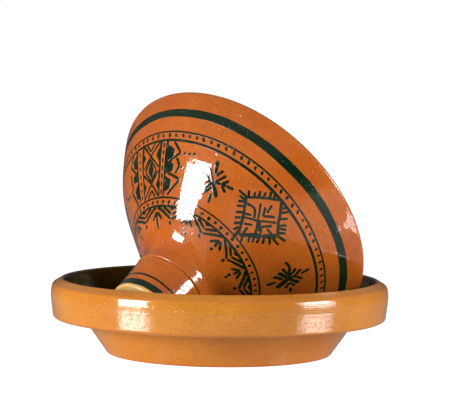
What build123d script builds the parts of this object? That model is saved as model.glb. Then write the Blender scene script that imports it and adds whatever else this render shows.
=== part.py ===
"""Tagine pot: a glazed earthenware dish with its cone lid lying tilted inside it.

Frame: +Z up, millimetres.  The dish stands on z = 0 with its own axis on the Z axis.
The lid leans in the dish: its knob rests on the dish floor towards -X and -Y, and its
wide open side faces up and away, towards +X and +Y.
"""
from build123d import *
import os

# Dish, measured on its own axis from its flat foot.
FOOT_RADIUS = 99.6             # where the foot and the wall would meet without their rounding
FOOT_ROUND = 2.5
WALL_TOP_RADIUS = 121.5        # where the sloping wall meets the collar's underside
COLLAR_BOTTOM_Z = 31.0
COLLAR_BOTTOM_RADIUS = 147.6
COLLAR_CORNER_ROUND = 3.2      # lower outer corner of the collar
COLLAR_WALL_FILLET = 3.0       # hollow corner between wall and collar
BELLY_RADIUS = 150.3           # the collar is widest here, before its large rounding
BELLY_Z = 53.5
BELLY_ROUND = 34.0
SHOULDER_RADIUS = 149.7        # outer edge of the lip, which slants up towards the inside
SHOULDER_Z = 60.6
SHOULDER_ROUND = 5.5
LIP_RADIUS = 138.0
LIP_Z = 67.6
LIP_ROUND = 2.4
COLLAR_MOUTH_RADIUS = 136.9
COLLAR_MOUTH_Z = 60.0
COLLAR_MOUTH_ROUND = 12.0
SEAT_OUTER_RADIUS = 136.0      # ledge inside the collar: it carries the lid when closed
SEAT_INNER_RADIUS = 117.1
SEAT_Z = 42.0
SEAT_FILLET = 3.5
FLOOR_Z = 13.0
FLOOR_CORNER_RADIUS = 98.3     # where floor and wall would meet without their fillet
FLOOR_FILLET = 14.0
GLAZE_THICKNESS = 0.8          # coat of green glaze that lines the dish
GLAZE_EDGE_RADIUS = 140.0      # how far the green glaze runs out over the lip
MOUTH_HEADROOM = 20.0          # open space taken above the lip when the glaze is laid

# Lid, measured along its own axis from the plane of its rim towards the knob.
NECK_RADIUS = 35.6
BELL_OUTSIDE = [               # radius, height: the bell from its rim to its neck
    (128.6, 0.0),
    (116.3, 21.6),
    (103.6, 39.8),
    (85.6, 58.0),
    (67.6, 74.2),
    (48.0, 89.2),
    (NECK_RADIUS, 104.0),
]
BELL_RIM_SLOPE = 0.46          # how much radius the bell loses per height at its rim
RIM_ROUND = 2.6
LID_WALL = 7.0
NECK_TOP_HEIGHT = 115.6        # crease where the knob is luted on
NECK_TOP_ROUND = 1.4
HOLLOW_TOP_HEIGHT = 104.0      # the hollow ends as a dome inside the neck

# Knob, in the same lid coordinates: a thrown cup, closed at its far end.
KNOB_BASE_RADIUS = 35.2
KNOB_BASE_ROUND = 1.8
KNOB_WAIST_RADIUS = 33.3
KNOB_WAIST_HEIGHT = 137.0
KNOB_END_RADIUS = 32.7
KNOB_END_HEIGHT = 154.4
KNOB_END_ROUND = 1.8
KNOB_WALL = 8.0
KNOB_HOLLOW_FILLET = 6.0
KNOB_DISH_RADIUS = 27.0        # shallow hollow in the knob's end face
KNOB_DISH_DEPTH = 1.8

# How the lid lies in the dish.
KNOB_AZIMUTH = 228.9           # direction of the knob seen from above, from +X towards +Y
AXIS_DIP = 33.0                # the lid's axis falls this far below level towards the knob
RIM_CENTRE_OUT = 29.5          # rim centre from the dish axis, away from the knob
RIM_CENTRE_Z = 124.3


def revolved(section):
    """Turn a section drawn in the XZ plane once around the Z axis."""
    return revolve(section, Axis.Z, 360)


def at(radius, height):
    """A point of a section in the XZ plane."""
    return Vector(radius, 0, height)


def closed(*edges):
    """The face enclosed by edges that follow each other in the XZ plane."""
    return make_face(Wire(list(edges)))


def dish_section():
    """Half section through the whole dish, clay and glaze together."""
    outline = FilletPolyline(
        at(0, 0),
        at(FOOT_RADIUS, 0),
        at(WALL_TOP_RADIUS, COLLAR_BOTTOM_Z),
        at(COLLAR_BOTTOM_RADIUS, COLLAR_BOTTOM_Z),
        at(BELLY_RADIUS, BELLY_Z),
        at(SHOULDER_RADIUS, SHOULDER_Z),
        at(LIP_RADIUS, LIP_Z),
        at(COLLAR_MOUTH_RADIUS, COLLAR_MOUTH_Z),
        at(SEAT_OUTER_RADIUS, SEAT_Z),
        at(SEAT_INNER_RADIUS, SEAT_Z),
        at(FLOOR_CORNER_RADIUS, FLOOR_Z),
        at(0, FLOOR_Z),
        radius=[
            FOOT_ROUND,
            COLLAR_WALL_FILLET,
            COLLAR_CORNER_ROUND,
            BELLY_ROUND,
            SHOULDER_ROUND,
            LIP_ROUND,
            COLLAR_MOUTH_ROUND,
            SEAT_FILLET,
            SEAT_FILLET,
            FLOOR_FILLET,
        ],
    )
    return closed(*outline.edges(), Line(outline @ 1, outline @ 0))


def glazed_zone(section):
    """Half section of the hollow of the dish, grown by the thickness of its glaze."""
    top = LIP_Z + MOUTH_HEADROOM
    mouth = closed(
        Line(at(0, FLOOR_Z), at(GLAZE_EDGE_RADIUS, FLOOR_Z)),
        Line(at(GLAZE_EDGE_RADIUS, FLOOR_Z), at(GLAZE_EDGE_RADIUS, top)),
        Line(at(GLAZE_EDGE_RADIUS, top), at(0, top)),
        Line(at(0, top), at(0, FLOOR_Z)),
    )
    hollow = (mouth - section).faces().sort_by(Axis.Z)[-1]
    return offset(hollow, GLAZE_THICKNESS)


def make_dish():
    """The clay dish, and the green glaze that lines it and runs over its lip."""
    section = dish_section()
    zone = glazed_zone(section)
    clay = revolved(section - zone)
    glaze = revolved(section & zone)
    return clay, glaze


def inward(curve, place, distance):
    """The point this far inside a curve, square to it."""
    return curve @ place + (curve % place).cross(Vector(0, 1, 0)) * distance


def make_lid_shell():
    """The bell of the lid with its hollow neck, rim down on z = 0."""
    bell = Spline(
        *[at(radius, height) for radius, height in BELL_OUTSIDE],
        tangents=[(-BELL_RIM_SLOPE, 0, 1), (0, 0, 1)],
    )
    hollow_top = at(0, HOLLOW_TOP_HEIGHT)
    hollow_places = [0.0, 0.12, 0.24, 0.36, 0.48, 0.60, 0.72, 0.84]
    hollow = Spline(
        *[inward(bell, place, LID_WALL) for place in hollow_places],
        hollow_top,
        tangents=[bell % 0, (-1, 0, 0)],
    )
    neck = FilletPolyline(
        bell @ 1,
        at(NECK_RADIUS, NECK_TOP_HEIGHT),
        at(0, NECK_TOP_HEIGHT),
        radius=[NECK_TOP_ROUND],
    )
    axis = Line(neck @ 1, hollow_top)
    rim = Line(hollow @ 0, bell @ 0)
    section = closed(bell, *neck.edges(), axis, hollow, rim)
    rim_corners = section.vertices().sort_by_distance(rim @ 0.5)[:2]
    section = fillet(rim_corners, RIM_ROUND)
    return revolved(section)


def make_knob():
    """The cup-shaped knob, standing on the neck of the lid."""
    side = Spline(
        at(KNOB_BASE_RADIUS, NECK_TOP_HEIGHT),
        at(KNOB_WAIST_RADIUS, KNOB_WAIST_HEIGHT),
        at(KNOB_END_RADIUS, KNOB_END_HEIGHT),
    )
    dish_corner = at(KNOB_DISH_RADIUS, KNOB_END_HEIGHT)
    dish_centre = at(0, KNOB_END_HEIGHT - KNOB_DISH_DEPTH)
    end = Line(side @ 1, dish_corner)
    dish = TangentArc(dish_centre, dish_corner, tangent=(1, 0, 0))
    hollow_radius = KNOB_END_RADIUS - KNOB_WALL
    hollow_top = KNOB_END_HEIGHT - KNOB_DISH_DEPTH - KNOB_WALL
    hollow = FilletPolyline(
        at(0, hollow_top),
        at(hollow_radius, hollow_top),
        at(hollow_radius, NECK_TOP_HEIGHT),
        radius=[KNOB_HOLLOW_FILLET],
    )
    base = Line(hollow @ 1, side @ 0)
    axis = Line(dish @ 0, hollow @ 0)
    section = closed(side, end, dish, axis, *hollow.edges(), base)
    section = fillet(section.vertices().sort_by_distance(side @ 0)[0], KNOB_BASE_ROUND)
    section = fillet(section.vertices().sort_by_distance(side @ 1)[0], KNOB_END_ROUND)
    return revolved(section)


def lid_place():
    """Where the lid lies: its rim centre, and its axis dipping towards the knob."""
    towards_knob = Vector(1, 0, 0).rotate(Axis.Z, KNOB_AZIMUTH)
    level = Vector(0, 0, 1).cross(towards_knob)
    along_axis = towards_knob.rotate(Axis((0, 0, 0), level), AXIS_DIP)
    rim_centre = towards_knob * -RIM_CENTRE_OUT + Vector(0, 0, RIM_CENTRE_Z)
    return Plane(origin=rim_centre, x_dir=level, z_dir=along_axis).location


clay, glaze = make_dish()
lie = lid_place()
nodes = {
    "dish_body": clay,
    "dish_liner_glaze": glaze,
    "lid_shell": lie * make_lid_shell(),
    "lid_knob": lie * make_knob(),
}

os.makedirs("parts", exist_ok=True)
for name, solid in nodes.items():
    export_step(solid, f"parts/{name}.step")
    print(name, round(solid.volume / 1000, 1), "cm3", solid.bounding_box())
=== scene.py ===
"""The looks of the tagine pot: turned and glazed earthenware, painted lid, plain studio.

Metres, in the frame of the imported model: +Z up, the dish stands on z = 0 round the Z axis.
Sections and painted strokes are worked in millimetres and scaled where the meshes are made.
"""
import math
import random

import bpy
import numpy as np
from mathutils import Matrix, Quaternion, Vector


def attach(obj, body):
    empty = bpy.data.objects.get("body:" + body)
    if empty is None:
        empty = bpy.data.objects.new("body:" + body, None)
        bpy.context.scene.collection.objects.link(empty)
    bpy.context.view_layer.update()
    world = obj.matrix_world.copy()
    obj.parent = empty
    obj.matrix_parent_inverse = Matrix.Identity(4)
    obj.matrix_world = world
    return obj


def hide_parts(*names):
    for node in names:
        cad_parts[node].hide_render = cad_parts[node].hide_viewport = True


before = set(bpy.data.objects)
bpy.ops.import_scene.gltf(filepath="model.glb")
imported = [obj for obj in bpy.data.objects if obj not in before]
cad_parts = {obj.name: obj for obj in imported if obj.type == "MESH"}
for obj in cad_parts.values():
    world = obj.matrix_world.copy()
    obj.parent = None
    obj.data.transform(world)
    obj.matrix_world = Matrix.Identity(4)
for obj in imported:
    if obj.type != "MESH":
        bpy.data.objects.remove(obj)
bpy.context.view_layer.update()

MM = 0.001

# Dish: corners of its half section from the foot round to the floor, with their roundings.
# The shoulder lies a little further in than the CAD's, where its reflections look right.
DISH_CORNERS = [
    (0.0, 0.0, 0.0),           # radius, height, rounding
    (99.6, 0.0, 2.5),
    (121.5, 31.0, 3.0),
    (147.6, 31.0, 3.2),
    (150.3, 53.4, 36.0),
    (148.6, 61.25, 4.4),
    (138.0, 67.6, 2.4),
    (136.9, 60.0, 12.0),
    (136.0, 42.0, 3.5),
    (117.1, 42.0, 3.5),
    (98.3, 13.0, 14.0),
    (0.0, 13.0, 0.0),
]
GLAZE_THICKNESS = 0.8
GLAZE_EDGE_RADIUS = 140.0      # the green glaze ends here, on the slanted top of the lip
GLAZE_EDGE_TAPER = 2.5         # it thins out over this width
GLAZE_EDGE_SWAY = 0.45         # and wanders this much to and fro
GLAZE_UNDER = 0.05             # its underside lies this far inside the clay
LIP_FROM = 60.5                # the lip's slanted top lies above this height

# Lid, along its own axis from its rim towards the knob.
NECK_RADIUS = 35.6
BELL_OUTSIDE = [               # a little fuller above the neck than the CAD's spline
    (128.6, 0.0),              # radius, height
    (116.3, 21.6),
    (103.6, 39.8),
    (85.6, 58.0),
    (67.6, 74.2),
    (54.6, 85.4),
    (43.6, 93.2),
    (37.8, 99.6),
    (NECK_RADIUS, 106.5),
]
BELL_RIM_SLOPE = 0.46
RIM_ROUND = 2.6
LID_WALL = 7.0
RIM_TAKES = 6                  # points of the bell's curve that the rounded rim takes up
CURVE_POINTS = 160
NECK_STRAIGHT_FROM = 108.0
NECK_TOP_HEIGHT = 115.6
NECK_TOP_ROUND = 0.7           # the crease by the knob is half filled with glaze
HOLLOW_TOP_HEIGHT = 104.0
HOLLOW_PLACES = [0.0, 0.12, 0.24, 0.36, 0.48, 0.60, 0.72, 0.84]
KNOB_SIDE = [(35.2, NECK_TOP_HEIGHT), (33.3, 137.0), (32.7, 154.4)]
KNOB_END_HEIGHT = 154.4
KNOB_BASE_ROUND = 0.9
KNOB_END_ROUND = 1.8
KNOB_DISH_RADIUS = 27.0
KNOB_DISH_DEPTH = 1.8
KNOB_DISH_ROUND = 6.0
KNOB_DISH_INSET = 2.0          # the dished part is drawn as a bowl from here inwards

# How the lid lies in the dish.
KNOB_AZIMUTH = math.radians(228.9)
AXIS_DIP = math.radians(33.0)
RIM_CENTRE_OUT = 29.5
RIM_CENTRE_Z = 124.3

# Hand-thrown unevenness, in millimetres.
UNEVEN = 0.16                  # surfaces lie about this far inside their section
BROAD_SWAY = 0.09              # and swell and sink this much over broad areas
RING_PITCH = 5.2               # distance between the finger marks of throwing
RING_WANDER = 0.9
DISH_RING_DEPTH = 0.05
LID_RING_DEPTH = 0.02
SECTION_STEP = 1.1             # distance between mesh rings along a section
AROUND = 384                   # mesh points in each ring
FLAT_FOOT = 4.0                # the dish becomes true to its section below this height
BARE_FROM = 150.6              # beyond this height the knob is bare of glaze,
BARE_BLUR = 1.2                # which thins out over this length

# Camera, fitted to the outlines of the dish and the lid in the photograph.
CAMERA_AIM = (0.0037, 0.0, 0.1356)
CAMERA_DISTANCE = 1.8776
CAMERA_ELEVATION = math.radians(3.54)
CAMERA_ROLL = math.radians(0.74)
CAMERA_LENS = 169.4


# ---------------------------------------------------------------- sections

def smooth_curve(points, start_slope, end_slope):
    """A function of 0..1 along a cubic spline through points, with slopes fixed at its ends."""
    points = np.array(points, float)
    runs = np.hypot(*np.diff(points, axis=0).T)
    knots = np.concatenate([[0.0], np.cumsum(runs)])
    count = len(points)
    matrix = np.zeros((count, count))
    right = np.zeros((count, 2))
    slopes = np.diff(points, axis=0) / runs[:, None]
    matrix[0, 0], matrix[0, 1] = 2 * runs[0], runs[0]
    right[0] = 6 * (slopes[0] - np.array(start_slope))
    for i in range(1, count - 1):
        matrix[i, i - 1:i + 2] = runs[i - 1], 2 * (runs[i - 1] + runs[i]), runs[i]
        right[i] = 6 * (slopes[i] - slopes[i - 1])
    matrix[-1, -2], matrix[-1, -1] = runs[-1], 2 * runs[-1]
    right[-1] = 6 * (np.array(end_slope) - slopes[-1])
    bends = np.linalg.solve(matrix, right)

    def place(share):
        """Points and unit directions at these shares of the way."""
        t = np.atleast_1d(share) * knots[-1]
        i = np.clip(np.searchsorted(knots, t, side="right") - 1, 0, count - 2)
        run = runs[i][:, None]
        a = ((knots[i + 1] - t) / runs[i])[:, None]
        b = ((t - knots[i]) / runs[i])[:, None]
        at = a * points[i] + b * points[i + 1]
        at = at + ((a**3 - a) * bends[i] + (b**3 - b) * bends[i + 1]) * run**2 / 6
        way = slopes[i] + ((1 - 3 * a**2) * bends[i] + (3 * b**2 - 1) * bends[i + 1]) * run / 6
        return at, way / np.linalg.norm(way, axis=1)[:, None]

    return place


def unit(vector):
    return vector / np.linalg.norm(vector)


ARC_POINTS = 9


def rounded(corners):
    """Points along an outline of (radius, height, rounding) corners, with arcs at the corners."""
    flat = np.array([corner[:2] for corner in corners], float)
    points = [flat[0]]
    for i in range(1, len(corners) - 1):
        back, ahead = unit(flat[i - 1] - flat[i]), unit(flat[i + 1] - flat[i])
        half = math.acos(np.clip(back @ ahead, -1, 1)) / 2
        rounding = corners[i][2]
        if rounding == 0:
            points.append(flat[i])
            continue
        reach = rounding / math.tan(half)
        centre = flat[i] + unit(back + ahead) * rounding / math.sin(half)
        first = unit(flat[i] + back * reach - centre)
        last = unit(flat[i] + ahead * reach - centre)
        turn = math.acos(np.clip(first @ last, -1, 1))
        for share in np.linspace(0, 1, ARC_POINTS):
            spread = math.sin((1 - share) * turn) * first + math.sin(share * turn) * last
            points.append(centre + spread / math.sin(turn) * rounding)
    points.append(flat[-1])
    return np.array(points)


class Section:
    """A line of (radius, height) points that can be read at any distance along it."""

    def __init__(self, points):
        points = np.array(points, float)
        keep = np.r_[True, np.hypot(*np.diff(points, axis=0).T) > 1e-6]
        self.points = points[keep]
        runs = np.hypot(*np.diff(self.points, axis=0).T)
        self.marks = np.concatenate([[0.0], np.cumsum(runs)])
        self.length = self.marks[-1]
        ways = np.diff(self.points, axis=0) / runs[:, None]
        ways = np.vstack([ways[:1], ways[:-1] + ways[1:], ways[-1:]])
        ways = ways / np.linalg.norm(ways, axis=1)[:, None]
        self.outward = np.stack([ways[:, 1], -ways[:, 0]], axis=1)

    def read(self, distance, lift=0.0):
        """Radius and height at a distance along the line, lifted square off it to the right."""
        radius = np.interp(distance, self.marks, self.points[:, 0])
        height = np.interp(distance, self.marks, self.points[:, 1])
        out = np.interp(distance, self.marks, self.outward[:, 0])
        up = np.interp(distance, self.marks, self.outward[:, 1])
        return radius + out * lift, height + up * lift

    def stops(self, step=SECTION_STEP, start=0.0):
        """Distances about a step apart, from start to the end of the line."""
        count = max(2, int(math.ceil((self.length - start) / step)) + 1)
        return np.linspace(start, self.length, count)

    def chord(self, distance, reach, lift):
        """The straight way between two points, this far before and after a distance."""
        ahead = self.read(np.minimum(distance + reach, self.length), lift)
        back = self.read(np.maximum(distance - reach, 0.0), lift)
        return np.hypot(ahead[0] - back[0], ahead[1] - back[1])

    def bend(self, distance, reach=3.0, gain=1.1):
        """How sharply the line turns outward here, from 0, flat, to 1, a tight round edge."""
        grown = self.chord(distance, reach, 1.0) - self.chord(distance, reach, 0.0)
        return np.clip(grown * gain, 0, 1)


dish_line = Section(rounded(DISH_CORNERS))

bell_place = smooth_curve(BELL_OUTSIDE, unit(np.array([-BELL_RIM_SLOPE, 1.0])), (0, 1))
bell_points, bell_ways = bell_place(np.linspace(0, 1, CURVE_POINTS))
knob_side = np.polyfit([h for r, h in KNOB_SIDE], [r for r, h in KNOB_SIDE], 2)
knob_heights = np.linspace(NECK_TOP_HEIGHT, KNOB_END_HEIGHT, 24)
knob_points = np.stack([np.polyval(knob_side, knob_heights), knob_heights], axis=1)
PAINT_LINE = Section(np.vstack([bell_points, [(NECK_RADIUS, NECK_TOP_HEIGHT)], knob_points]))
KNOB_START = float(np.interp(NECK_TOP_HEIGHT, PAINT_LINE.points[:, 1], PAINT_LINE.marks))


def hollow_points():
    """The inside of the bell, from its rim to the dome in its neck."""
    at, ways = bell_place(HOLLOW_PLACES)
    inner = at + np.stack([-ways[:, 1], ways[:, 0]], axis=1) * LID_WALL
    inner = np.vstack([inner, [(0.0, HOLLOW_TOP_HEIGHT)]])
    return smooth_curve(inner, bell_ways[0], (-1, 0))(np.linspace(0, 1, CURVE_POINTS))[0]


def lid_shell_line():
    """Half section of the lid's shell: hollow, rim, bell and neck top, axis to axis."""
    inner = hollow_points()
    rim = [
        (*bell_points[RIM_TAKES], 0.0),
        (*bell_points[0], RIM_ROUND),
        (*inner[0], RIM_ROUND),
        (*inner[RIM_TAKES], 0.0),
    ]
    neck = [
        (0.0, NECK_TOP_HEIGHT, 0),
        (NECK_RADIUS, NECK_TOP_HEIGHT, NECK_TOP_ROUND),
        (NECK_RADIUS, NECK_STRAIGHT_FROM, 0),
    ]
    bell = bell_points[:RIM_TAKES:-1]
    whole = np.vstack([rounded(neck), bell, rounded(rim), inner[RIM_TAKES + 1:]])
    return Section(whole[::-1])


def knob_line():
    """Half section of the knob's skin: base, side, round edge and dished end, axis to axis."""
    base = [(0.0, NECK_TOP_HEIGHT, 0), (*knob_points[0], KNOB_BASE_ROUND), (*knob_points[3], 0)]
    end = [
        (*knob_points[-3], 0),
        (*knob_points[-1], KNOB_END_ROUND),
        (KNOB_DISH_RADIUS, KNOB_END_HEIGHT, KNOB_DISH_ROUND),
        (0.0, KNOB_END_HEIGHT - KNOB_DISH_DEPTH, 0),
    ]
    radii = np.linspace(KNOB_DISH_RADIUS - KNOB_DISH_INSET, 0, 12)
    dip = KNOB_DISH_DEPTH * (1 - (radii / KNOB_DISH_RADIUS) ** 2)
    dished = np.stack([radii, KNOB_END_HEIGHT - dip], axis=1)
    return Section(np.vstack([rounded(base), knob_points[4:-3], rounded(end)[:-3], dished]))


# ---------------------------------------------------------------- unevenness

def waves(seed, count, reach):
    """A smooth random function of angle and height, between -1 and 1 or so."""
    rng = random.Random(seed)
    terms = [
        (rng.randint(1, reach), rng.uniform(-0.05, 0.05), rng.uniform(0, 2 * math.pi))
        for _ in range(count)
    ]

    def value(angle, height):
        total = sum(np.cos(turns * angle + pull * height + start) for turns, pull, start in terms)
        return total / math.sqrt(count)

    return value


dish_wave = waves(3, 6, 5)
lid_wave = waves(8, 6, 5)
edge_wave = waves(5, 9, 14)
ring_wave = waves(11, 4, 3)


def thrown(wave, angle, height, depth=DISH_RING_DEPTH):
    """How far a hand-thrown surface lies below its true section, in millimetres."""
    drift = height + RING_WANDER * ring_wave(angle, height)
    rings = np.sin(2 * math.pi * drift / RING_PITCH + angle)
    fade = 0.5 + 0.5 * ring_wave(2 * angle, 3 * height)
    broad = np.clip(wave(angle, height), -2, 2) / 2
    return -UNEVEN + BROAD_SWAY * broad + depth * rings * np.clip(fade, 0, 1)


# ---------------------------------------------------------------- places and meshes

towards = np.array([math.cos(KNOB_AZIMUTH), math.sin(KNOB_AZIMUTH), 0.0])
up = np.array([0.0, 0.0, 1.0])
lid_axis = towards * math.cos(AXIS_DIP) - up * math.sin(AXIS_DIP)
lid_level = np.cross(up, towards)
lid_rise = np.cross(lid_axis, lid_level)
rim_centre = up * RIM_CENTRE_Z - towards * RIM_CENTRE_OUT

DISH_PLACE = (np.zeros(3), up, np.array([1.0, 0, 0]), np.array([0, 1.0, 0]))
LID_PLACE = (rim_centre, lid_axis, lid_level, lid_rise)


def put(place, radius, height, angle):
    """Points in metres from radius, height and angle about an axis, in millimetres."""
    origin, axis, first, second = place
    radius, height, angle = np.broadcast_arrays(radius, height, angle)
    ring = np.cos(angle)[..., None] * first + np.sin(angle)[..., None] * second
    return (origin + axis * height[..., None] + ring * radius[..., None]) * MM


def mesh_piece(name, points, faces, marks):
    """A smooth-shaded mesh object, with float marks on its points for the materials to read."""
    mesh = bpy.data.meshes.new(name)
    mesh.from_pydata([tuple(p) for p in points], [], faces)
    mesh.polygons.foreach_set("use_smooth", [True] * len(mesh.polygons))
    for mark, values in marks.items():
        layer = mesh.attributes.new(mark, "FLOAT", "POINT")
        layer.data.foreach_set("value", np.asarray(values, np.float32))
    mesh.update()
    piece = bpy.data.objects.new(name, mesh)
    bpy.context.scene.collection.objects.link(piece)
    return piece


ring_angle = np.arange(AROUND) * 2 * math.pi / AROUND


def turned(name, place, rows, marks):
    """A closed surface from rows of (radius, height) rings; the first and last lie on the axis."""
    inner = rows[1:-1]
    rings = np.concatenate([put(place, radius, height, ring_angle) for radius, height in inner])
    ends = [put(place, 0.0, float(np.mean(rows[i][1])), 0.0)[None] for i in (0, -1)]
    points = np.concatenate([rings, *ends])
    start, end = len(rings), len(rings) + 1
    around = [(j, (j + 1) % AROUND) for j in range(AROUND)]
    faces = []
    for i in range(len(inner) - 1):
        low, high = i * AROUND, (i + 1) * AROUND
        faces += [(low + j, low + k, high + k, high + j) for j, k in around]
    last = (len(inner) - 1) * AROUND
    faces += [(start, k, j) for j, k in around]
    faces += [(last + j, last + k, end) for j, k in around]
    full = {
        mark: np.concatenate([np.repeat(values[1:-1], AROUND), [values[0], values[-1]]])
        for mark, values in marks.items()
    }
    return mesh_piece(name, points, faces, full)


def glaze_edge():
    """How far along the dish section the green glaze ends, from the foot, at each angle."""
    fine, near = 0.05, 0.1
    stops = dish_line.stops(fine)
    radius, height = dish_line.read(stops)
    on_lip = stops[(height > LIP_FROM) & (np.abs(radius - GLAZE_EDGE_RADIUS) < near)]
    return on_lip.min() + GLAZE_EDGE_SWAY * edge_wave(ring_angle, 0.0)


def clay_drop(distance, edge):
    """How far the clay lies under the dish section where the glaze covers it."""
    share = np.clip((distance - edge) / GLAZE_EDGE_TAPER, 0, 1)
    return GLAZE_THICKNESS * share * share * (3 - 2 * share)


def make_dish():
    """The clay dish: wall, collar, lip and ledge, a little uneven from the wheel."""
    edge = glaze_edge()
    stops = dish_line.stops()
    rows = []
    for distance in stops:
        radius, height = dish_line.read(distance)
        share = np.clip(height / FLAT_FOOT, 0, 1)
        lift = thrown(dish_wave, ring_angle, height) * share - clay_drop(distance, edge)
        rows.append(dish_line.read(distance, lift))
    marks = {"along": stops, "bend": dish_line.bend(stops)}
    return turned("dish_clay", DISH_PLACE, rows, marks)


def make_dish_glaze():
    """The green glaze that lines the dish, with an uneven edge where it was poured out."""
    edge = glaze_edge()
    stops = dish_line.stops(SECTION_STEP, float(edge.mean()))
    shares = (stops - stops[0]) / (stops[-1] - stops[0])
    rows = []
    for share in shares[::-1]:
        distance = edge + (dish_line.length - edge) * share
        height = dish_line.read(distance)[1]
        lift = thrown(dish_wave, ring_angle, height) - clay_drop(distance, edge)
        rows.append(dish_line.read(distance, lift - GLAZE_UNDER))
    for share in shares[1:]:
        distance = edge + (dish_line.length - edge) * share
        height = dish_line.read(distance)[1]
        rows.append(dish_line.read(distance, thrown(dish_wave, ring_angle, height)))
    under_and_over = np.concatenate([stops[::-1], stops[1:]])
    marks = {"along": under_and_over, "bend": dish_line.bend(under_and_over)}
    return turned("dish_green_glaze", DISH_PLACE, rows, marks)


def make_turned(name, section, bare_from=None):
    """The lid's shell or its knob, whose slip is bare beyond a height along the lid's axis."""
    stops = section.stops()
    rows = []
    for distance in stops:
        height = section.read(distance)[1]
        lift = thrown(lid_wave, ring_angle, height, LID_RING_DEPTH)
        rows.append(section.read(distance, lift))
    marks = {"along": stops, "bend": section.bend(stops)}
    if bare_from is not None:
        beyond = (section.read(stops)[1] - bare_from) / BARE_BLUR
        past_base = stops > section.length / 3
        marks["bare"] = np.clip(beyond, 0, 1) * past_base
    return turned(name, LID_PLACE, rows, marks)


# ---------------------------------------------------------------- brushwork

# Sections of the paint: places across half widths, and how far each stands off the clay.
PAINT_HIGH = 0.03
PAINT_EDGE = [-0.03, 0.01]     # from the edge inwards, starting just inside the clay
BRUSH_ACROSS = [-1.0, -0.96, -0.84, 0.0, 0.84, 0.96, 1.0]
BRUSH_LIFT = [*PAINT_EDGE, 0.025, PAINT_HIGH, 0.025, *PAINT_EDGE[::-1]]
PATCH_ACROSS = [-1.0, -0.97, -0.88, -0.6, -0.3, 0.0, 0.3, 0.6, 0.88, 0.97, 1.0]
PATCH_LIFT = [*PAINT_EDGE, 0.025, *[PAINT_HIGH] * 5, 0.025, *PAINT_EDGE[::-1]]
BAND_ACROSS = [-1, -0.985, -0.94, -0.7, -0.4, 0, 0.4, 0.7, 0.94, 0.985, 1]
BAND_LIFT = [*PAINT_EDGE, *[PAINT_HIGH] * 7, *PAINT_EDGE[::-1]]
KNOB_BAND_ACROSS = [-1, -0.98, -0.92, -0.5, 0, 0.5, 0.92, 0.98, 1]
KNOB_BAND_LIFT = [*PAINT_EDGE, *[PAINT_HIGH] * 5, *PAINT_EDGE[::-1]]
UNDER_ACROSS = [0.96, -0.96]
UNDER_LIFT = -0.10             # the underside of the paint, inside the clay
BRUSH_SPREAD = 1.25            # how much a stroke spreads beyond the brush
LINE_SPREAD = 1.1
THIN_EDGE = 0.45               # how thin the glaze runs at a stroke's edges, at most
STROKE_STEP = 0.7
RING_POINTS = 480


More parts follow.
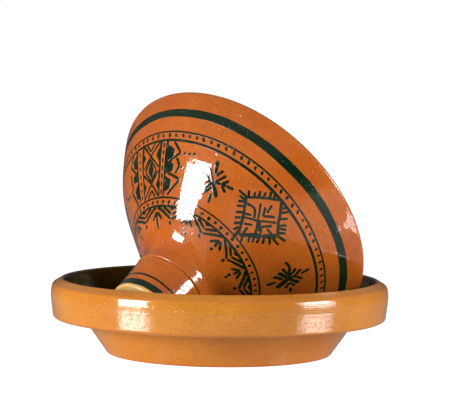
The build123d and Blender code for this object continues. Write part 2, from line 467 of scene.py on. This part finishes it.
class Brush:
    """Collects painted strokes on the lid as thin closed ribbons of glaze.

    A stroke's points are (degrees about the lid's axis, millimetres from the rim).
    """

    def __init__(self, seed):
        self.rng = random.Random(seed)
        self.points = []
        self.thin = []
        self.faces = []
        self.count = 0

    def surface(self, angle, distance, lift):
        """Points on the lid at these angles and distances from the rim."""
        height = PAINT_LINE.read(distance)[1]
        low = thrown(lid_wave, angle, height, LID_RING_DEPTH)
        radius, height = PAINT_LINE.read(distance, low + lift)
        return put(LID_PLACE, radius, height, angle)

    def ribbon(self, angle, distance, side, closed, across, lifts, tone):
        """Rings of points across a path; side is the half width as (angle, distance) steps."""
        across = np.array([*across, *UNDER_ACROSS])
        lifts = np.array([*lifts, *[UNDER_LIFT] * len(UNDER_ACROSS)])
        angles = angle[:, None] + side[0][:, None] * across
        distances = distance[:, None] + side[1][:, None] * across
        rings = self.surface(angles, distances, lifts[None, :])
        rows, columns = rings.shape[:2]
        base = self.count
        self.points.append(rings.reshape(-1, 3))
        edge = np.abs(across) ** 6
        edge[-len(UNDER_ACROSS):] = 1
        self.thin.append(np.clip(edge[None, :] * THIN_EDGE + tone[:, None], 0, 1).ravel())
        self.count += rows * columns
        for i in range(rows if closed else rows - 1):
            this, after = base + i * columns, base + (i + 1) % rows * columns
            for j in range(columns):
                k = (j + 1) % columns
                self.faces.append((this + j, this + k, after + k, after + j))
        if not closed:
            self.faces.append(tuple(base + j for j in range(columns))[::-1])
            self.faces.append(tuple(base + (rows - 1) * columns + j for j in range(columns)))

    def wander(self, length, size, step):
        """A slowly changing random value along a stroke."""
        count = max(3, int(length / step) + 2)
        knots = [self.rng.uniform(-size, size) for _ in range(count)]
        return lambda run: np.interp(run, np.linspace(0, length, count), knots)

    def stroke(self, path, width, curved=False):
        """One brush stroke: fuller where the brush first touches, round at both ends."""
        path = np.array([(math.radians(a), s) for a, s in path], float)
        if curved and len(path) > 2:
            path = rounded_path(path)
        scale = PAINT_LINE.read(path[:, 1].mean())[0]
        steps = np.diff(path, axis=0) * (scale, 1.0)
        marks = np.concatenate([[0.0], np.cumsum(np.hypot(*steps.T))])
        length = marks[-1]
        run = np.linspace(0, length, max(5, int(length / STROKE_STEP) + 1))
        ends = np.minimum(run, length - run)
        tip, shoulder = 0.12 * width, 0.3 * width
        run = np.concatenate([[0, tip], run[ends > shoulder], [length - tip, length]])
        ends = np.minimum(run, length - run)
        angle = np.interp(run, marks, path[:, 0])
        distance = np.interp(run, marks, path[:, 1])
        way = np.stack([np.gradient(angle, run) * scale, np.gradient(distance, run)])
        way = way / np.maximum(np.hypot(*way), 1e-9)
        reach = np.clip(ends / (0.5 * width), 0, 1)
        cap = np.sqrt(reach * (2 - reach))
        lighter = 1.06 - 0.16 * run / length + self.wander(length, 0.1, 3.0)(run)
        half = 0.5 * width * BRUSH_SPREAD * lighter * (0.18 + 0.82 * cap)
        sway = self.wander(length, 0.12, 5.0)(run)
        angle = angle - way[1] * sway / scale
        distance = distance + way[0] * sway
        side = (-way[1] * half / scale, way[0] * half)
        tone = np.clip(self.wander(length, 0.22, 4.0)(run) + self.rng.uniform(-0.12, 0.12), -1, 1)
        self.ribbon(angle, distance, side, False, BRUSH_ACROSS, BRUSH_LIFT, tone)

    def strokes(self, path, width):
        """A straight stroke for each leg of a path."""
        for first, last in zip(path, path[1:]):
            self.stroke([first, last], width)

    def dot(self, angle, distance, width, length, slant):
        """A short dab, along the lid's axis and leaning by a slant in degrees about it."""
        half = length / 2
        self.stroke([(angle + slant, distance - half), (angle - slant, distance + half)], width)

    def ring(self, distance, width, sway=0.25, across=BRUSH_ACROSS, lifts=BRUSH_LIFT):
        """A line or band right round the lid, painted as it turned on the wheel."""
        turn = np.arange(RING_POINTS) * 2 * math.pi / RING_POINTS

        def unsteady(*orders):
            return sum(
                np.cos(k * turn + self.rng.uniform(0, 6.28)) / math.sqrt(k) for k in orders
            )

        wobble = unsteady(1, 2, 3, 5, 8, 13)
        swell = unsteady(2, 4, 7, 15, 31)
        middle = distance + sway * 0.5 * wobble
        half = 0.5 * width * LINE_SPREAD * (1 + 0.07 * swell)
        tone = 0.12 * np.cos(9 * turn + self.rng.uniform(0, 6)) * np.cos(4 * turn)
        side = (np.zeros_like(turn), -half)
        self.ribbon(turn, middle, side, True, across, lifts, tone)

    def patch(self, slices):
        """A filled shape from (millimetres from the rim, from degrees, to degrees) slices."""
        place, first, last = np.array(slices, float).T
        run = np.linspace(place[0], place[-1], max(6, int(np.ptp(place) / 0.8)))
        first = np.radians(np.interp(run, place, first))
        last = np.radians(np.interp(run, place, last))
        first = first + self.wander(len(run), 0.002, 3.0)(np.arange(len(run)))
        middle, half = (first + last) / 2, np.maximum(np.abs(last - first) / 2, 0.003)
        tone = self.wander(len(run), 0.15, 3.0)(np.arange(len(run)))
        side = (half, np.zeros_like(run))
        self.ribbon(middle, run, side, False, PATCH_ACROSS, PATCH_LIFT, tone)

    def piece(self, name):
        """The strokes so far as one named piece that rides on the lid."""
        marks = {"thin": np.concatenate(self.thin)}
        made = mesh_piece(name, np.concatenate(self.points), self.faces, marks)
        made.data.materials.append(paint_glaze)
        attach(made, "lid")


def rounded_path(path):
    """A path through the same points with its corners drawn as curves."""
    count = len(path)
    spread = np.linspace(0, count - 1, count * 8)
    i = np.clip(spread.astype(int), 0, count - 2)
    t = (spread - i)[:, None]
    before, after = path[np.maximum(i - 1, 0)], path[np.minimum(i + 2, count - 1)]
    here, there = path[i], path[i + 1]
    return 0.5 * (
        2 * here + (there - before) * t
        + (2 * before - 5 * here + 4 * there - after) * t**2
        + (3 * here - before - 3 * there + after) * t**3
    )


# Lines and bands round the lid, as (millimetres from the rim, width).
RIM_BAND = (21.6, 7.0)
UPPER_LINES = [(38.9, 1.6), (46.8, 2.3)]
LOWER_LINES = [(97.0, 1.5), (104.6, 2.1)]
UPPER_DOTS = 42.0
LOWER_DOTS = 100.7
KNOB_LINE = (KNOB_START + 22.4, 1.9)
KNOB_BAND = (KNOB_START + 32.0, 6.6)

# Places about the lid's axis, in degrees.
HEAVY_HAND = 105               # where the dabs are fullest
PANEL_AT = 108
DIAMOND_AT = 26
VALLEYS = [101, 66, 32, -1, -37, -74, -110, -147, 176, 138]
HALF_TURNS = (0, 180)          # panel, stars and diamond repeat on the far side


def paint_lines():
    """The wide band near the rim and the two pairs of lines."""
    brush = Brush(21)
    brush.ring(*RIM_BAND, 0.7, BAND_ACROSS, BAND_LIFT)
    brush.piece("paint_rim_band")
    brush = Brush(22)
    for distance, width in UPPER_LINES + LOWER_LINES:
        brush.ring(distance, width)
    brush.piece("paint_lines")


def paint_dots():
    """The rows of dabs between each pair of lines; the painter's hand grows heavy and light."""
    brush = Brush(23)
    rows = ((UPPER_DOTS, 88, 0.3, 1.8, 3.1), (LOWER_DOTS, 58, 1.3, 2.2, 2.7))
    for distance, count, start, width, length in rows:
        for i in range(count):
            angle = start + 360 * i / count + brush.rng.uniform(-0.4, 0.4)
            heavy = max(0.0, math.cos(math.radians(angle - HEAVY_HAND)))
            size = brush.rng.uniform(0.88, 1.12) * (1 + 0.25 * heavy)
            lean = brush.rng.uniform(0.2, 0.6)
            at = distance + brush.rng.uniform(-0.25, 0.25) + 0.3 * heavy
            brush.dot(angle, at, width * size, length * size, lean)
    brush.piece("paint_dots")


def paint_panels():
    """The tall hatched panel: two dashed stripes, a lattice between them and toothed flanks."""
    brush = Brush(24)
    for turn in HALF_TURNS:
        c = PANEL_AT + turn
        for top, foot in ((-8.5, -8.5), (-13, -13), (12.5, 15.5), (6, 9)):
            brush.stroke([(c + top, 47), (c + foot, 97)], 2.0)
        for i in range(7):
            share = i / 6
            brush.dot(c - 10.8, 51 + 41 * share, 1.7, 4.4, 0.1)
            brush.dot(c + 9.6 + 2.4 * share, 53 + 39 * share, 2.0, 3.8, -0.2)
        lattice = [
            [(c + 5, 48), (c - 0.7, 59), (c - 7.5, 70)],
            [(c - 7.5, 48), (c - 0.7, 59), (c + 6, 69)],
            [(c + 7.5, 73), (c - 0.7, 84), (c - 7.5, 95)],
            [(c - 7.5, 73), (c - 0.7, 84), (c + 8, 95)],
            [(c + 2.5, 48), (c - 0.6, 54.5), (c - 4, 48)],
            [(c + 4, 96), (c - 0.6, 89.5), (c - 4.5, 96)],
            [(c - 0.5, 62), (c - 5.5, 72), (c - 0.5, 82), (c + 5, 71.5), (c - 0.5, 62)],
        ]
        for line in lattice:
            brush.strokes(line, 1.8)
        brush.patch([(64, c - 1.2, c - 0.6), (71.5, c - 3.4, c + 2.4), (78.5, c - 1.4, c - 0.4)])
        for low, high, edge, tip in (
            (52, 65, -8, -5), (79, 91, -8, -5), (53, 64, 6.5, 3.5), (78, 91, 8, 5),
        ):
            near = (c + edge, c + edge + 0.2)
            far = (c + edge, c + tip)
            brush.patch([(low, *near), ((low + high) / 2, *far), (high, *near)])
        for low, high, edge, tip in (
            (50.5, 66, -13.5, -18.5), (64.5, 77, -13.5, -19.5), (78, 92.5, -13.5, -19),
            (50, 64, 13, 17.5), (65, 75, 14, 20.5), (76, 92, 15, 20.5),
        ):
            near = (c + edge, c + edge + 0.2)
            far = (c + edge, c + tip)
            fourth = (high - low) / 4
            brush.patch([(low, *near), (low + fourth, *far), (high - fourth, *far), (high, *near)])
        flanks = [
            [(c - 17.5, 48), (c - 23, 57.5), (c - 14.5, 68)],
            [(c - 16, 76), (c - 26, 80.5), (c - 17, 95)],
            [(c + 16.5, 48), (c + 21, 56), (c + 15, 68)],
            [(c + 22, 75), (c + 26, 78), (c + 19, 96)],
        ]
        for line in flanks:
            brush.strokes(line, 2.1)
        brush.stroke([(c - 21, 62), (c - 23.5, 69), (c - 21.5, 76)], 2.3, curved=True)
        brush.stroke([(c + 22, 62), (c + 23.5, 69), (c + 22, 75)], 2.2, curved=True)
        brush.stroke([(c + 39, 70), (c + 35, 75), (c + 29, 77)], 1.6, curved=True)
        for angle, distance in ((-25.7, 57.8), (-28.8, 57.3), (-31.5, 56.5), (-25.5, 70)):
            brush.dot(c + angle, distance, 2.2, 3.0, 0.2)
    brush.piece("paint_panels")


STARS = {                      # each arm as (degrees, mm from the rim) twice, and its width
    59.8: [
        ((3.0, 54), (1.2, 65), 2.9), ((-2.3, 59.5), (0.2, 66.5), 2.1),
        ((-5.0, 62), (-0.8, 72), 2.1), ((5.7, 62.5), (0.6, 72), 2.3),
        ((7.2, 68.5), (3.4, 72), 2.4), ((5.6, 75), (2, 72.5), 2.2),
        ((-6.0, 82.5), (1.0, 71.5), 3.3), ((3.8, 80), (0, 72), 2.7), ((3.2, 84.5), (-0.4, 77), 2.4),
        ((-1.6, 82), (-3.0, 90), 2.3), ((-7.8, 64.5), (-4.7, 70), 2.1),
        ((-9.2, 74.8), (-4.8, 70.5), 2.3), ((-12.3, 68.2), (-4.8, 70.2), 2.2),
        ((-0.6, 72), (-5.2, 70.3), 1.8),
    ],
    -16.5: [
        ((3.0, 52.5), (1.5, 60), 2.0), ((4.2, 59.5), (0.8, 66), 2.1), ((-2.3, 59.5), (0.6, 66), 2.2),
        ((5.5, 63.5), (0.6, 72), 2.3), ((-4.5, 62.5), (-0.2, 73), 3.2),
        ((-6.5, 66), (-3.6, 71), 2.2), ((-11.5, 70.2), (-7.8, 70), 2.3),
        ((-8.0, 74.6), (-3.6, 71.2), 2.3), ((11.7, 71), (7, 68.3), 2.3), ((7, 68.3), (2, 71.5), 2.3),
        ((7.8, 75), (2, 71.5), 2.3), ((5.2, 79.5), (-0.3, 71.5), 2.9), ((3.2, 84.5), (-0.6, 76), 2.5),
        ((-6.8, 82.5), (-0.6, 72), 3.8), ((-3.2, 91), (-1.8, 82.5), 2.6), ((0.6, 66), (-0.2, 73), 2.2),
    ],
}


def paint_stars():
    """Two many-armed snow-star motifs, and the same two on the far side."""
    brush = Brush(25)
    for turn in HALF_TURNS:
        for centre, arms in STARS.items():
            c = centre + turn
            for first, last, width in arms:
                brush.stroke([(c + first[0], first[1]), (c + last[0], last[1])], width)
    brush.piece("paint_stars")


DIAMOND_BORDER = [             # strokes of the square, as (degrees, mm from the rim) and width
    ([(0.5, 47.5), (13.8, 67)], 1.9), ([(13.8, 66.5), (7, 81), (1, 94)], 2.3),
    ([(-0.5, 47.5), (-9, 62), (-14.3, 67.5)], 2.2), ([(-14, 68), (-9.5, 79), (0, 94)], 3.4),
    ([(2.4, 90), (1.4, 99.5)], 2.6), ([(-1.4, 91), (-4.8, 96.5)], 1.9),
    ([(-5.5, 79), (-1.4, 72.5)], 2.6),
]
DIAMOND_INSIDE = [
    ([(5.8, 61.5), (-0.4, 73.5)], 1.7), ([(-0.6, 73), (-5.8, 82)], 2.3),
    ([(-7.5, 62), (-0.3, 74), (8, 81.5)], 1.7), ([(2.5, 60.8), (-0.2, 67.8)], 2.0),
    ([(-4.7, 60.2), (-0.2, 67.5)], 2.1), ([(1.1, 55.5), (-0.2, 63.3)], 1.8),
    ([(8.3, 78), (4.3, 74.3)], 1.9), ([(-7.6, 66.5), (-4.4, 74.5), (-7.8, 78.5)], 2.0),
    ([(-7.3, 71.3), (-12.5, 71)], 1.9), ([(3.6, 84.2), (-0.4, 79.3)], 1.8),
    ([(0.6, 83.8), (-0.9, 89.8)], 2.0),
]
DIAMOND_FRINGE = [             # each tassel from its root to its tip
    ((4.6, 52.8), (6.4, 47.8)), ((3.4, 49.6), (4.2, 47.4)), ((6.8, 56.2), (8, 51.8)),
    ((8.8, 58.6), (10.4, 54.4)), ((10.6, 61.6), (12, 57.8)), ((12.8, 64.2), (14.9, 60.4)),
    ((14, 66.2), (19.4, 65.6)), ((14, 69), (17, 69.2)), ((13, 70.8), (15.8, 73.6)),
    ((12, 74.6), (14.5, 77.6)), ((10, 79), (12.5, 82.2)), ((8.4, 83), (10.7, 86.2)),
    ((6.4, 87), (8.5, 90.2)), ((4.6, 90.4), (5.6, 94.6)), ((-4.8, 53), (-6.6, 48)),
    ((-3.6, 49.8), (-4.6, 47.4)), ((-7, 57.8), (-9, 51.8)), ((-9.8, 61), (-11.8, 55.6)),
    ((-11.4, 62.4), (-13.6, 58)), ((-13.2, 64.6), (-15.1, 60)), ((-14.8, 66.6), (-19, 63.6)),
    ((-14.6, 71.6), (-19.4, 70.6)), ((-12.8, 74), (-16.6, 77.2)), ((-11.4, 78.4), (-14.1, 82)),
    ((-9.2, 81.8), (-11.7, 85.8)), ((-7.6, 85.2), (-9.6, 89)), ((-5.6, 88.4), (-8.2, 91.6)),
]


def paint_diamonds():
    """A square standing on its corner, crossed inside and fringed like a rug."""
    brush = Brush(26)
    for turn in HALF_TURNS:
        c = DIAMOND_AT + turn
        for line, width in DIAMOND_BORDER + DIAMOND_INSIDE:
            brush.strokes([(c + angle, distance) for angle, distance in line], width)
        for root, tip in DIAMOND_FRINGE:
            start = (1.3 * root[0] - 0.3 * tip[0], 1.3 * root[1] - 0.3 * tip[1])
            brush.stroke([(c + start[0], start[1]), (c + tip[0], tip[1])], 2.0)
        hook = [(c + 11.8, 70.5), (c + 7, 68.4), (c + 4.4, 70.4), (c + 2, 74.5)]
        brush.stroke(hook, 1.9, curved=True)
    brush.piece("paint_diamonds")


def paint_zigzag():
    """The ring of nested triangles below the lower lines, with arrowheads in its valleys."""
    brush = Brush(27)
    for i, valley in enumerate(VALLEYS):
        after = VALLEYS[(i + 1) % len(VALLEYS)]
        gap = (valley - after) % 360
        tip = valley - gap / 2
        heavy = brush.rng.uniform(0.9, 1.25)
        for reach, low, width in ((0.48, 115.3, 2.1), (0.29, 111, 2.0)):
            brush.stroke([(tip + gap * reach, 105.2), (tip + 0.3, low)], width * heavy)
            brush.stroke([(tip - gap * reach, 105.2), (tip - 0.3, low)], width)
        wide = gap * 0.13
        brush.patch([(104.6, tip - wide, tip + wide), (107.6, tip - 0.8, tip + 0.8)])
        long_one = i % 5 == 0
        brush.stroke([(valley + 0.4, 109.6), (valley + 6.5, 116.5)], 2.1)
        brush.stroke([(valley - 0.4, 109.6), (valley - 6.2, 116)], 2.2)
        brush.stroke([(valley + 0.9, 111.5), (valley - 0.4, 124 if long_one else 116.8)], 2.3)
        if not long_one:
            brush.dot(valley + 0.4, 120.2, 2.6, 2.9, 0.4)
            if i % 2:
                brush.dot(valley - 1.2, 123.4, 2.4, 2.7, 0.6)
        brush.dot(tip + 0.8, 118.6, 2.6, 3.0, 0.8)
    brush.piece("paint_triangles")


def paint_knob():
    """A thin and a broad ring on the knob."""
    brush = Brush(28)
    brush.ring(*KNOB_LINE, 0.3)
    brush.ring(*KNOB_BAND, 0.5, KNOB_BAND_ACROSS, KNOB_BAND_LIFT)
    brush.piece("paint_knob_rings")


# ---------------------------------------------------------------- materials

def linear(red, green, blue):
    """Scene-linear colour from everyday 0-255 values."""
    def one(value):
        value = value / 255
        return value / 12.92 if value <= 0.04045 else ((value + 0.055) / 1.055) ** 2.4
    return (one(red), one(green), one(blue), 1.0)


GLAZE_IOR = 1.66               # a lead glaze, brighter in its reflections than window glass
BARE_SLIP = linear(246, 196, 122)


class Wiring:
    """A material being wired, with short calls for adding nodes and joining them."""

    def __init__(self, name):
        self.material = bpy.data.materials.new(name)
        self.material.use_nodes = True
        self.tree = self.material.node_tree
        self.shader = self.tree.nodes["Principled BSDF"]
        self.place = self.add("ShaderNodeTexCoord").outputs["Object"]

    def add(self, kind, settings=(), **sockets):
        """A node with its settings, and its input sockets set or joined by name."""
        node = self.tree.nodes.new(kind)
        for key, value in dict(settings).items():
            setattr(node, key, value)
        for key, value in sockets.items():
            self.join(value, node.inputs[key.replace("_", " ")])
        return node

    def join(self, value, socket):
        """Join an output to a socket, or set the socket's own value."""
        if isinstance(value, bpy.types.NodeSocket):
            self.tree.links.new(value, socket)
        else:
            socket.default_value = value

    def noise(self, scale, detail=2.0, roughness=0.5):
        """Soft random spots; a scale of 100 makes them about a centimetre wide."""
        node = self.add("ShaderNodeTexNoise", Vector=self.place, Scale=scale,
                        Detail=detail, Roughness=roughness)
        return node.outputs["Fac"]

    def mark(self, name):
        """A float that the mesh carries on its points."""
        return self.add("ShaderNodeAttribute", {"attribute_name": name}).outputs["Fac"]

    def streaks(self, per_mm, detail=3.0):
        """Noise that changes along the section only, as the marks of turning do."""
        drift = self.math("MULTIPLY", self.noise(9.0), 6.0)
        node = self.add("ShaderNodeTexNoise", {"noise_dimensions": "1D"},
                        W=self.math("ADD", self.mark("along"), drift),
                        Scale=per_mm, Detail=detail)
        return node.outputs["Fac"]

    def math(self, operation, first, second=0.0):
        node = self.add("ShaderNodeMath", {"operation": operation})
        self.join(first, node.inputs[0])
        self.join(second, node.inputs[1])
        return node.outputs[0]

    def ramp(self, value, low, high, out_low=0.0, out_high=1.0):
        """A value stretched from low..high to another span, smooth at both ends."""
        node = self.add("ShaderNodeMapRange", {"interpolation_type": "SMOOTHSTEP"})
        for socket, number in zip(node.inputs, (value, low, high, out_low, out_high)):
            self.join(number, socket)
        return node.outputs["Result"]

    def blend(self, share, first, second):
        """Two colours mixed by a share."""
        node = self.add("ShaderNodeMix", {"data_type": "RGBA"})
        self.join(share, node.inputs["Factor"])
        colours = [s for s in node.inputs if s.type == "RGBA"]
        self.join(first, colours[0])
        self.join(second, colours[1])
        return [s for s in node.outputs if s.type == "RGBA"][0]

    def bumps(self, *layers):
        """Bumps on bumps: each layer is a height and how far it stands, in metres."""
        normal = None
        for height, distance in layers:
            node = self.add("ShaderNodeBump", Height=height, Distance=distance, Strength=1.0)
            if normal is not None:
                self.join(normal, node.inputs["Normal"])
            normal = node.outputs["Normal"]
        self.join(normal, self.shader.inputs["Normal"])
        self.join(normal, self.shader.inputs["Coat Normal"])

    def glaze_relief(self):
        """What breaks up the reflections of a clear glaze: swells, ripples and pinholes."""
        return (
            (self.noise(110.0, 2.0), 0.00008),
            (self.noise(340.0, 1.0, 0.4), 0.00006),
            (self.ramp(self.noise(520.0, 0.0), 0.68, 0.76), 0.00014),
        )

    def shine(self, coat, coat_roughness):
        """The clear skin of the glaze, the same all over; what lies under it hardly shines."""
        self.shader.inputs["Coat Weight"].default_value = coat
        self.shader.inputs["Coat Roughness"].default_value = coat_roughness
        self.shader.inputs["Coat IOR"].default_value = GLAZE_IOR
        self.shader.inputs["Specular IOR Level"].default_value = 0.05


def glazed_clay(name, body, warm, thin, dark, turning_marks, edge_share):
    """Clear glaze over slip-coloured clay: mottled, streaked by turning, specked and pinholed."""
    wires = Wiring(name)
    clouds = wires.ramp(wires.noise(14.0, 4.0, 0.6), 0.35, 0.68)
    colour = wires.blend(clouds, body, warm)
    turning = wires.ramp(wires.streaks(0.35), 0.35, 0.7, 0.0, 0.3)
    colour = wires.blend(turning, colour, warm)
    mottle = wires.ramp(wires.noise(520.0, 3.0, 0.7), 0.4, 0.72, 0.0, 0.34)
    colour = wires.blend(mottle, colour, dark)
    edge = wires.ramp(wires.mark("bend"), 0.25, 0.9, 0.0, edge_share)
    colour = wires.blend(edge, colour, thin)
    colour = wires.blend(wires.mark("bare"), colour, BARE_SLIP)
    specks = wires.ramp(wires.noise(620.0, 1.0), 0.71, 0.77, 0.0, 0.4)
    colour = wires.blend(specks, colour, dark)
    wires.join(colour, wires.shader.inputs["Base Color"])
    rough = wires.ramp(wires.noise(90.0, 3.0), 0.3, 0.7, 0.28, 0.42)
    wires.join(rough, wires.shader.inputs["Roughness"])
    wires.bumps((wires.streaks(0.8), turning_marks), *wires.glaze_relief())
    wires.shine(1.0, 0.02)
    return wires.material


def green_lining():
    """The dark green glaze poured inside the dish: pooled dark, thin and olive on its edges."""
    wires = Wiring("green_lining_glaze")
    clouds = wires.ramp(wires.noise(18.0, 4.0, 0.6), 0.35, 0.68)
    colour = wires.blend(clouds, linear(78, 82, 30), linear(104, 108, 44))
    edge = wires.ramp(wires.mark("bend"), 0.2, 0.9, 0.0, 0.8)
    colour = wires.blend(edge, colour, linear(96, 88, 36))
    turning = wires.ramp(wires.streaks(0.4), 0.4, 0.75, 0.0, 0.35)
    colour = wires.blend(turning, colour, linear(24, 30, 10))
    wires.join(colour, wires.shader.inputs["Base Color"])
    rough = wires.ramp(wires.noise(80.0, 3.0), 0.3, 0.7, 0.25, 0.4)
    wires.join(rough, wires.shader.inputs["Roughness"])
    wires.bumps(
        (wires.streaks(0.8), 0.00008),
        (wires.noise(110.0, 2.0), 0.0001),
        (wires.noise(560.0, 2.0, 0.6), 0.00003),
    )
    wires.shine(0.8, 0.03)
    return wires.material


def brushed_green():
    """The painter's green glaze: near black where the brush left it full, rusty where thin."""
    wires = Wiring("brushed_green_glaze")
    patchy = wires.ramp(wires.noise(700.0, 3.0), 0.4, 0.8, -0.1, 0.35)
    thin = wires.math("ADD", wires.mark("thin"), patchy)
    clouds = wires.ramp(wires.noise(60.0, 3.0), 0.35, 0.65)
    full = wires.blend(clouds, linear(6, 32, 16), linear(16, 42, 16))
    colour = wires.blend(wires.ramp(thin, 0.55, 1.15), full, linear(74, 40, 12))
    wires.join(colour, wires.shader.inputs["Base Color"])
    rough = wires.ramp(wires.noise(90.0, 3.0), 0.3, 0.7, 0.25, 0.4)
    wires.join(rough, wires.shader.inputs["Roughness"])
    wires.bumps(*wires.glaze_relief())
    wires.shine(1.0, 0.02)
    return wires.material


ochre_glaze = glazed_clay(
    "ochre_clear_glaze",
    body=linear(226, 147, 48),
    warm=linear(212, 130, 38),
    thin=linear(216, 128, 42),
    dark=linear(150, 82, 24),
    turning_marks=0.00013,
    edge_share=0.5,
)
terracotta_glaze = glazed_clay(
    "terracotta_clear_glaze",
    body=linear(210, 110, 35),
    warm=linear(194, 93, 25),
    thin=linear(214, 120, 42),
    dark=linear(128, 54, 12),
    turning_marks=0.00002,
    edge_share=0.15,
)
lining_glaze = green_lining()
paint_glaze = brushed_green()


# ---------------------------------------------------------------- the object

def dress(piece, material, body, node):
    """Finish a piece: give it its material and body, and hide the CAD node it stands for."""
    piece.data.materials.append(material)
    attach(piece, body)
    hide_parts(node)


dress(make_dish(), ochre_glaze, "dish", "dish_body")
dress(make_dish_glaze(), lining_glaze, "dish", "dish_liner_glaze")
bell = make_turned("lid_bell", lid_shell_line())
dress(bell, terracotta_glaze, "lid", "lid_shell")
knob = make_turned("lid_knob_turned", knob_line(), BARE_FROM)
dress(knob, terracotta_glaze, "lid", "lid_knob")
paint_lines()
paint_dots()
paint_panels()
paint_stars()
paint_diamonds()
paint_zigzag()
paint_knob()


# ---------------------------------------------------------------- studio

TABLE_GLOW = 0.95              # what the camera alone sees it give, so that it looks white
TABLE_IOR = 3.6                # strong, so that the table mirrors the softboxes into the collar
TABLE_HALF = 12.0
SOFTBOX_DISTANCE = 1.2
SOFTBOX_AIM = Vector((0, 0, 0.06))
BACKDROP_LIGHT = 0.08          # brightness of the surround behind the pot
ROOM_LIGHT = 0.02              # in front of it, where the room is dim
CEILING_LIGHT = 0.19


def make_floor():
    """A wide, pale and glossy table top."""
    wires = Wiring("pale_table")
    clouds = wires.ramp(wires.noise(3.0, 2.0), 0.3, 0.7)
    colour = wires.blend(clouds, (0.86, 0.86, 0.86, 1), (0.9, 0.9, 0.9, 1))
    wires.join(colour, wires.shader.inputs["Base Color"])
    wires.shader.inputs["Roughness"].default_value = 0.03
    wires.shader.inputs["IOR"].default_value = TABLE_IOR
    wires.shader.inputs["Emission Color"].default_value = (1, 1, 1, 1)
    seen = wires.add("ShaderNodeLightPath").outputs["Is Camera Ray"]
    glow = wires.ramp(seen, 0.0, 1.0, 0.0, TABLE_GLOW)
    wires.join(glow, wires.shader.inputs["Emission Strength"])
    mesh = bpy.data.meshes.new("table_top")
    corners = [(x * TABLE_HALF, y * TABLE_HALF, 0) for x, y in ((-1, -1), (1, -1), (1, 1), (-1, 1))]
    mesh.from_pydata(corners, [], [(0, 1, 2, 3)])
    mesh.materials.append(wires.material)
    floor = bpy.data.objects.new("table_top", mesh)
    bpy.context.scene.collection.objects.link(floor)


def softbox(name, azimuth, elevation, width, height, power):
    """A rectangular softbox that faces the object; azimuth is from -Y towards +X."""
    light = bpy.data.lights.new(name, "AREA")
    light.shape = "RECTANGLE"
    light.size, light.size_y = width, height
    light.energy = power
    lamp = bpy.data.objects.new(name, light)
    a, e = math.radians(azimuth), math.radians(elevation)
    way = Vector((math.sin(a) * math.cos(e), -math.cos(a) * math.cos(e), math.sin(e)))
    lamp.location = SOFTBOX_AIM + way * SOFTBOX_DISTANCE
    lamp.rotation_mode = "QUATERNION"
    lamp.rotation_quaternion = (-way).to_track_quat("-Z", "Y")
    bpy.context.scene.collection.objects.link(lamp)


def make_surround():
    """A surround that is white to look at, and lights the pot mostly from above."""
    world = bpy.data.worlds.new("studio")
    world.use_nodes = True
    tree = world.node_tree
    new, link = tree.nodes.new, tree.links.new
    back = tree.nodes["Background"]
    direction = new("ShaderNodeSeparateXYZ")
    link(new("ShaderNodeTexCoord").outputs["Generated"], direction.inputs[0])

    def share(output, low, high, out_low, out_high):
        """A brightness that changes with one coordinate of the direction looked in."""
        ramp = new("ShaderNodeMapRange")
        ramp.interpolation_type = "SMOOTHSTEP"
        link(direction.outputs[output], ramp.inputs["Value"])
        for name, value in (
            ("From Min", low), ("From Max", high), ("To Min", out_low), ("To Max", out_high),
        ):
            if isinstance(value, float):
                ramp.inputs[name].default_value = value
            else:
                link(value, ramp.inputs[name])
        return ramp.outputs["Result"]

    around = share("Y", -0.3, 0.3, ROOM_LIGHT, BACKDROP_LIGHT)
    whole = share("Z", 0.2, 0.4, around, CEILING_LIGHT)
    seen = new("ShaderNodeMix")
    link(new("ShaderNodeLightPath").outputs["Is Camera Ray"], seen.inputs["Factor"])
    link(whole, seen.inputs["A"])
    seen.inputs["B"].default_value = 1.0
    link(seen.outputs["Result"], back.inputs["Strength"])
    back.inputs["Color"].default_value = (1, 1, 1, 1)
    bpy.context.scene.world = world


def make_studio():
    """Two softboxes at the sides, and the surround."""
    softbox("left_softbox", azimuth=-57, elevation=10.6, width=0.42, height=0.31, power=12.5)
    softbox("right_softbox", azimuth=66, elevation=14.6, width=0.47, height=0.37, power=9.6)
    make_surround()
    bpy.context.scene.view_settings.view_transform = "Standard"


def make_camera():
    """A long lens a little above the rim, slightly rolled."""
    camera = bpy.data.objects.new("camera", bpy.data.cameras.new("camera"))
    camera.data.sensor_width = 36.0
    camera.data.lens = CAMERA_LENS
    camera.data.clip_end = 100.0
    back = Vector((0, -math.cos(CAMERA_ELEVATION), math.sin(CAMERA_ELEVATION)))
    camera.location = Vector(CAMERA_AIM) + back * CAMERA_DISTANCE
    camera.rotation_mode = "QUATERNION"
    look = (-back).to_track_quat("-Z", "Y")
    camera.rotation_quaternion = look @ Quaternion((0, 0, 1), CAMERA_ROLL)
    bpy.context.scene.collection.objects.link(camera)
    bpy.context.scene.camera = camera


make_floor()
make_studio()
make_camera()
